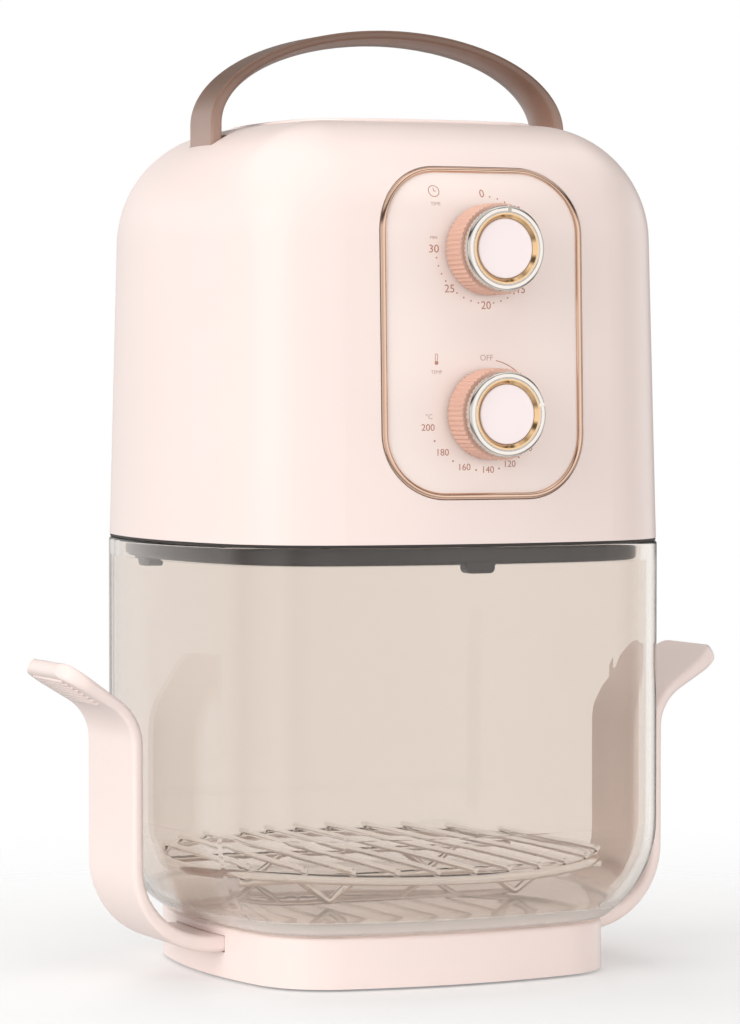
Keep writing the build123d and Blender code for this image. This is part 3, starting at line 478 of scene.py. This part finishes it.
def unit_word(name, text, centre, reach, degrees, lift, height):
    """Small unit above the last number of a dial."""
    x, z = around(centre, reach, degrees)
    words(name, text, x, z + lift, height, print_grey)


def clock_outlines(x, z):
    """Clock face with two hands."""
    face = arc_dashes(x, z, CLOCK_RADIUS, 0, 360, CLOCK_LINE, 12)
    long_hand = dash(x, z - HAND_TAIL, x, z + LONG_HAND, HAND_LINE)
    short_hand = dash(x - HAND_TAIL, z, x + SHORT_HAND, z, HAND_LINE)
    return face + [long_hand, short_hand]


def thermometer_outlines(x, z):
    """Bulb with an open tube that is round at the top."""
    bulb = disc(x, z - BULB_DROP, BULB_RADIUS)
    walls = [dash(x + offset, z - TUBE_DROP, x + offset, z + TUBE_RISE, TUBE_LINE)
             for offset in (-TUBE_HALF, TUBE_HALF)]
    return [bulb] + walls + arc_dashes(x, z + TUBE_RISE, TUBE_HALF, -90, 90, TUBE_LINE, 30)


def symbol(dial, draw, word, right, up, drop):
    """Small picture beside a dial, with its word underneath."""
    centre = dial_centre(dial)
    x = centre[0] + right
    z = centre[1] + up
    plate_from_outlines(f"{dial}_icon", draw(x, z))
    words(f"{dial}_word", word, x, z - drop, SYMBOL_WORD, print_grey)


def timer_print():
    """Minutes round the upper dial, with a dot for each minute between them."""
    centre = dial_centre("timer")
    for value in range(0, 31, 5):
        x, z = around(centre, MARK_RING, MINUTE_TURN * value)
        words(f"timer_mark_{value}", str(value), x, z, 3.1 * MM)
    dots = []
    for minute in range(1, 30):
        if minute % 5:
            dots.append(disc(*around(centre, MINUTE_DOT_RING, MINUTE_TURN * minute), MINUTE_DOT))
    plate_from_outlines("timer_dots", dots)
    unit_word("timer_unit", "MIN", centre, reach=21.6 * MM, degrees=281, lift=0.2 * MM, height=1.2 * MM)
    symbol("timer", clock_outlines, "TIME", right=-19.6 * MM, up=22.0 * MM, drop=4.9 * MM)


def thermostat_print():
    """Temperatures round the lower dial, drifting outwards after the middle one, with dots between."""
    centre = dial_centre("thermostat")
    x, z = around(centre, MARK_RING, 0)
    words("thermostat_off", "OFF", x, z, 2.3 * MM, print_grey)
    for index, value in enumerate(range(80, 201, 20)):
        place = index - HEAT_MIDDLE
        x, z = around(centre, MARK_RING + HEAT_DRIFT * max(0, place), 180 + HEAT_TURN * place)
        words(f"thermostat_mark_{value}", str(value), x, z, 2.6 * MM)
    dots = []
    for index in range(6):
        place = index + 0.5 - HEAT_MIDDLE
        spot = around(centre, MARK_RING + HEAT_DOT_DRIFT * max(0, place), 180 + HEAT_TURN * place)
        dots.append(disc(*spot, HEAT_DOT))
    plate_from_outlines("thermostat_dots", dots)
    plate_from_outlines("thermostat_sweep", arc_dashes(*centre, 20.6 * MM, 11, 90, 0.35 * MM, 4))
    unit_word("thermostat_unit", "°C", centre, reach=24.3 * MM, degrees=258, lift=4.0 * MM, height=1.9 * MM)
    symbol("thermostat", thermometer_outlines, "TEMP", right=-20.6 * MM, up=20.6 * MM, drop=4.8 * MM)


timer_print()
thermostat_print()


# ---------------------------------------------------------------- panel bezel
BEZEL_WIDTH = 2.5 * MM
BEZEL_RISE = 1.25 * MM
BEZEL_CORNER = 25 * MM
BEAD_FULLNESS = 0.7
BEAD_POINTS = 14
BEAD_SINK = 0.1 * MM
BEAD_ROOT = 0.8 * MM
CORNER_STEPS = 16
SIDE_STEPS = 14


def rounded_outline(half_x, low_z, high_z, corner):
    """Closed outline of a rounded rectangle as (x, z) points, clockwise from the top right corner."""
    points = []
    spots = [(half_x - corner, high_z - corner, 90), (half_x - corner, low_z + corner, 0),
             (-half_x + corner, low_z + corner, -90), (-half_x + corner, high_z - corner, -180)]
    for index, (centre_x, centre_z, start) in enumerate(spots):
        for step in range(CORNER_STEPS + 1):
            angle = math.radians(start - 90 * step / CORNER_STEPS)
            points.append((centre_x + corner * math.cos(angle), centre_z + corner * math.sin(angle)))
        next_x, next_z, turn = spots[(index + 1) % len(spots)]
        begin_x, begin_z = points[-1]
        angle = math.radians(turn)
        end_x = next_x + corner * math.cos(angle)
        end_z = next_z + corner * math.sin(angle)
        for step in range(1, SIDE_STEPS):
            share = step / SIDE_STEPS
            points.append((begin_x + (end_x - begin_x) * share, begin_z + (end_z - begin_z) * share))
    return points


def bead_ring(point, side, out):
    """Points round the bead at one place: a full arch, and a root sunk into the front."""
    ring = []
    for step in range(BEAD_POINTS):
        angle = math.pi * step / (BEAD_POINTS - 1)
        across = math.cos(angle) * BEZEL_WIDTH / 2
        lift = max(0.0, math.sin(angle)) ** BEAD_FULLNESS * BEZEL_RISE
        ring.append(point + side * across + out * (lift - BEAD_SINK))
    ring.append(point - side * BEZEL_WIDTH / 2 - out * BEAD_ROOT)
    ring.append(point + side * BEZEL_WIDTH / 2 - out * BEAD_ROOT)
    return ring


def panel_bezel():
    """Half-round bead that follows the panel's edge over the curved front."""
    low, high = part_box("panel_bezel")
    inset = BEZEL_WIDTH / 2
    middle = (low.x + high.x) / 2
    half = (high.x - low.x) / 2 - inset
    outline = rounded_outline(half, low.z + inset, high.z - inset, BEZEL_CORNER - inset)
    work = bmesh.new()
    rings = []
    for index, (x, z) in enumerate(outline):
        before = outline[index - 1]
        after = outline[(index + 1) % len(outline)]
        behind, _ = front_surface(middle + before[0], before[1])
        ahead, _ = front_surface(middle + after[0], after[1])
        point, normal = front_surface(middle + x, z)
        along = (ahead - behind).normalized()
        side = along.cross(normal).normalized()
        out = side.cross(along).normalized()
        if out.y > 0:
            out = -out
        rings.append([work.verts.new(spot) for spot in bead_ring(point, side, out)])
    join_rings(work, rings + rings[:1])
    mesh = solid_mesh("bezel_bead", work, smooth=True)
    piece = new_piece("bezel_bead", mesh, "head", finishes["bezel_metal"])
    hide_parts("panel_bezel")


panel_bezel()


# ---------------------------------------------------------------- glass bowl
# Clear glass shades next to nothing, so the bowl casts no shadow.
nodes["glass_bowl"].visible_shadow = False


# ---------------------------------------------------------------- ear straps
# Each strap runs out of the plinth, bends up, rises, flares outwards and ends in a sloping lip.
# NOSE is the lip's half thickness at its tip; FIRST_RIB and LIP_IN_RIBS count rib spacings.
EAR_HALF_WIDTH = 25 * MM
EAR_THICK = 4.5 * MM
EAR_EDGE = 1.9 * MM
EDGE_MOST = 0.8
FLAT_SHARE = 0.6
FLAT_GAP = 0.6 * MM
EAR_CORNER = 13 * MM
FOOT_THICK = 6.2 * MM
BEND_RADIUS = 33.5 * MM
LIP_OVERHANG = 28.5 * MM
LIP_ANGLE = math.radians(31)
FLARE_RADIUS = 18 * MM
FLARE_HEIGHT = 81 * MM
NOSE = 3.2 * MM
NOSE_HEIGHT = 110.2 * MM
NOSE_TURN = 82
SHADE_STEP = 10 * MM
SHADE_GAP = 1 * MM
BEND_STEPS = 14
UPRIGHT_STEPS = 6
FLARE_STEPS = 12
LIP_STEPS = 14
NOSE_STEPS = 9
EDGE_STEPS = 5
RIB_COUNT = 8
RIB_HALF = 16 * MM
RIB_RADIUS = 0.8 * MM
RIB_TAPER = 1 * MM
RIB_TIP = 0.4
RIB_SIDES = 10
FIRST_RIB = 0.9
LIP_IN_RIBS = 8.5
LIP_ALONG = Vector((math.cos(LIP_ANGLE), math.sin(LIP_ANGLE)))
LIP_DOWN = Vector((math.sin(LIP_ANGLE), -math.cos(LIP_ANGLE)))


def pointing(angle):
    """Unit vector at an angle from +X."""
    return Vector((math.cos(angle), math.sin(angle)))


def ear_stations():
    """Outer and inner face of the right strap as (x, z) pairs, from inside the plinth to the lip's nose."""
    low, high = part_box("ear_right")
    upright = high.x - LIP_OVERHANG
    bend = Vector((upright - BEND_RADIUS, low.z + BEND_RADIUS))
    flare = Vector((upright + FLARE_RADIUS, low.z + FLARE_HEIGHT))
    nose = Vector((high.x - NOSE, low.z + NOSE_HEIGHT))
    stations = []
    for x in (low.x, low.x + SHADE_STEP, bend.x - SHADE_GAP):
        stations.append((Vector((x, low.z)), Vector((x, low.z + FOOT_THICK))))
    for step in range(BEND_STEPS + 1):
        ray = pointing(math.radians(-90 + 90 * step / BEND_STEPS))
        inner = Vector((ray.x * (BEND_RADIUS - EAR_THICK), ray.y * (BEND_RADIUS - FOOT_THICK)))
        stations.append((bend + ray * BEND_RADIUS, bend + inner))
    for step in range(1, UPRIGHT_STEPS):
        z = bend.y + (flare.y - bend.y) * step / UPRIGHT_STEPS
        stations.append((Vector((upright, z)), Vector((upright - EAR_THICK, z))))
    for step in range(FLARE_STEPS + 1):
        ray = pointing(math.pi - (math.pi / 2 - LIP_ANGLE) * step / FLARE_STEPS)
        stations.append((flare + ray * FLARE_RADIUS, flare + ray * (FLARE_RADIUS + EAR_THICK)))
    lip_outer, lip_inner = stations[-1]
    for step in range(1, LIP_STEPS + 1):
        share = step / LIP_STEPS
        outer = lip_outer.lerp(nose + LIP_DOWN * NOSE, share)
        inner = lip_inner.lerp(nose - LIP_DOWN * NOSE, share)
        stations.append((outer, inner))
    for step in range(1, NOSE_STEPS + 1):
        angle = math.radians(NOSE_TURN * step / NOSE_STEPS)
        middle = nose + LIP_ALONG * NOSE * math.sin(angle)
        half = LIP_DOWN * NOSE * math.cos(angle)
        stations.append((middle + half, middle - half))
    return stations


def strap_section(half_width, half_thick):
    """Rounded rectangle as (across, through) points, with a point on each flat close to its corner."""
    edge = min(EAR_EDGE, half_thick * EDGE_MOST)
    points = []
    for sign_w, sign_t, start in ((1, 1, 0), (-1, 1, 90), (-1, -1, 180), (1, -1, 270)):
        centre_w = sign_w * (half_width - edge)
        centre_t = sign_t * (half_thick - edge)
        arc = []
        for step in range(EDGE_STEPS + 1):
            angle = math.radians(start + 90 * step / EDGE_STEPS)
            arc.append((centre_w + edge * math.cos(angle), centre_t + edge * math.sin(angle)))
        short = (sign_w * half_width, centre_t * FLAT_SHARE)
        wide = (centre_w - sign_w * FLAT_GAP, sign_t * half_thick)
        points += [short] + arc + [wide] if sign_w == sign_t else [wide] + arc + [short]
    return points


def add_rib(work, spot):
    """Small half-sunk rod with tapered ends under the lip."""
    rings = []
    inner = RIB_HALF - RIB_TAPER
    for y, share in ((-RIB_HALF, RIB_TIP), (-inner, 1), (inner, 1), (RIB_HALF, RIB_TIP)):
        ring = []
        for step in range(RIB_SIDES):
            angle = 2 * math.pi * step / RIB_SIDES
            arm = LIP_ALONG * math.cos(angle) + LIP_DOWN * math.sin(angle)
            at = spot + arm * RIB_RADIUS * share
            ring.append(work.verts.new((at.x, y, at.y)))
        rings.append(ring)
    join_rings(work, rings)
    close_ends(work, rings)


def strap_half_width(to_end):
    """Half width of the strap, less in the rounded corners of its lip."""
    if to_end >= EAR_CORNER:
        return EAR_HALF_WIDTH
    return EAR_HALF_WIDTH + math.sqrt(EAR_CORNER ** 2 - (EAR_CORNER - to_end) ** 2) - EAR_CORNER


def ear_strap(name, node, turned):
    """Strap with soft edges and a rounded lip, ribbed underneath, in place of a CAD ear."""
    work = bmesh.new()
    stations = ear_stations()
    end = (stations[-1][0] + stations[-1][1]) / 2
    rings = []
    for outer, inner in stations:
        middle = (outer + inner) / 2
        through = (outer - inner) / 2
        ring = []
        for across, depth in strap_section(strap_half_width((end - middle).length), through.length):
            at = middle + through.normalized() * depth
            ring.append(work.verts.new((at.x, across, at.y)))
        rings.append(ring)
    join_rings(work, rings)
    close_ends(work, rings)
    nose_start = len(stations) - NOSE_STEPS - 1
    lip_end = stations[nose_start][0]
    lip_start = stations[nose_start - LIP_STEPS][0]
    for index in range(RIB_COUNT):
        add_rib(work, lip_start.lerp(lip_end, (index + FIRST_RIB) / LIP_IN_RIBS))
    if turned:
        bmesh.ops.rotate(work, verts=work.verts, cent=(0, 0, 0), matrix=Matrix.Rotation(math.pi, 3, "Z"))
    mesh = solid_mesh(name, work, smooth=True)
    piece = new_piece(name, mesh, "base", finishes["body_plastic"])
    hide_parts(node)


ear_strap("strap_right", "ear_right", turned=False)
ear_strap("strap_left", "ear_left", turned=True)


# ---------------------------------------------------------------- studio
FLOOR_RADIUS = 3.0
WORLD_STRENGTH = 1.3
FADE_START = -0.2
FADE_END = 0.6


def add_floor():
    """Pale round floor that fades out into the backdrop."""
    work = bmesh.new()
    bmesh.ops.create_circle(work, cap_ends=True, segments=96, radius=FLOOR_RADIUS)
    mesh = bpy.data.meshes.new("floor")
    work.to_mesh(mesh)
    work.free()
    floor = bpy.data.objects.new("floor", mesh)
    bpy.context.scene.collection.objects.link(floor)
    made = bpy.data.materials.new("floor_paper")
    made.use_nodes = True
    graph = Graph(made.node_tree)
    paper = graph.add("ShaderNodeBsdfPrincipled")
    graph.set(paper, Base_Color=(0.93, 0.925, 0.92, 1), Roughness=0.6)
    clear = graph.add("ShaderNodeBsdfTransparent")
    mix = graph.add("ShaderNodeMixShader")
    output = graph.add("ShaderNodeOutputMaterial")
    length = graph.add("ShaderNodeVectorMath", operation="LENGTH")
    graph.link(graph.coordinates(), length.inputs[0])
    fade = graph.add("ShaderNodeMapRange", interpolation_type="SMOOTHSTEP")
    graph.set(fade, From_Min=FADE_START, From_Max=FADE_END)
    graph.link(length.outputs["Value"], fade.inputs["Value"])
    graph.link(fade.outputs["Result"], mix.inputs["Fac"])
    graph.link(paper.outputs["BSDF"], mix.inputs[1])
    graph.link(clear.outputs["BSDF"], mix.inputs[2])
    graph.link(mix.outputs["Shader"], output.inputs["Surface"])
    mesh.materials.append(made)


def add_light(name, place, aim, size, power, color=(1, 1, 1)):
    """Lamp that lights surfaces but isn't mirrored in them or seen through the glass."""
    data = bpy.data.lights.new(name, "AREA")
    data.shape = "RECTANGLE"
    data.size, data.size_y = size
    data.energy = power
    data.color = color
    light = bpy.data.objects.new(name, data)
    bpy.context.scene.collection.objects.link(light)
    light.location = place
    light.rotation_mode = "QUATERNION"
    light.rotation_quaternion = (Vector(aim) - Vector(place)).to_track_quat("-Z", "Y")
    light.visible_glossy = False
    light.visible_transmission = False


def add_world():
    """White to the camera and through glass; banded light from all round for everything else."""
    world = bpy.data.worlds.new("studio")
    bpy.context.scene.world = world
    world.use_nodes = True
    graph = Graph(world.node_tree)
    parts = graph.split(graph.add("ShaderNodeTexCoord").outputs["Generated"])
    bearing = graph.math("ARCTAN2", parts["X"], parts["Y"])
    turn = graph.math("DIVIDE", graph.math("ADD", bearing, math.pi), 2 * math.pi)
    peak = (1.0, 0.99, 0.98)
    bright = (0.7, 0.695, 0.69)
    dim = (0.35, 0.345, 0.34)
    dark = (0.05, 0.047, 0.045)
    bands = graph.ramp(turn, [
        (0.0, bright), (0.08, bright), (0.13, dim), (0.17, peak), (0.22, bright), (0.27, dark),
        (0.32, bright), (0.45, bright), (0.55, dim), (0.63, dark), (0.68, peak), (0.74, bright),
        (0.79, dark), (0.84, bright), (0.93, peak), (1.0, bright)])
    rise = graph.math("MULTIPLY_ADD", parts["Z"], 0.5, 0.5)
    levels = [(0.0, 0.8), (0.3, 0.25), (0.4, 0.95), (0.62, 1.0), (0.7, 0.12), (0.77, 0.12), (0.84, 1.0),
              (1.0, 0.9)]
    shelf = graph.ramp(rise, [(place, (level,) * 3) for place, level in levels])
    lights = graph.add("ShaderNodeBackground")
    graph.link(bands, lights.inputs["Color"])
    graph.link(graph.math("MULTIPLY", shelf, WORLD_STRENGTH), lights.inputs["Strength"])
    backdrop = graph.add("ShaderNodeBackground")
    graph.set(backdrop, Color=(1, 1, 1, 1), Strength=1.0)
    path = graph.add("ShaderNodeLightPath")
    mix = graph.add("ShaderNodeMixShader")
    output = graph.add("ShaderNodeOutputWorld")
    seen = graph.math("MAXIMUM", path.outputs["Is Camera Ray"], path.outputs["Is Transmission Ray"])
    graph.link(seen, mix.inputs["Fac"])
    graph.link(lights.outputs["Background"], mix.inputs[1])
    graph.link(backdrop.outputs["Background"], mix.inputs[2])
    graph.link(mix.outputs["Shader"], output.inputs["Surface"])


add_floor()
add_world()
add_light("key", (-2.2, -0.65, 0.95), aim=(0, 0, 0.15), size=(1.8, 1.6), power=38,
          color=(1.0, 0.985, 0.98))
add_light("front", (-0.2, -2.4, 0.5), aim=(0, 0, 0.1), size=(1.4, 0.9), power=7, color=(1.0, 0.965, 0.95))
add_light("fill", (1.8, -1.2, 0.7), aim=(0, 0, 0.2), size=(0.9, 1.4), power=6, color=(1.0, 0.95, 0.925))
add_light("top", (-0.2, 0.2, 2.0), aim=(0, 0, 0.2), size=(1.4, 1.4), power=5)
add_light("back", (0.4, 2.4, 1.2), aim=(0, 0, 0.2), size=(1.4, 1.2), power=26)
bpy.context.scene.view_settings.view_transform = "Standard"
bpy.context.scene.view_settings.look = "None"
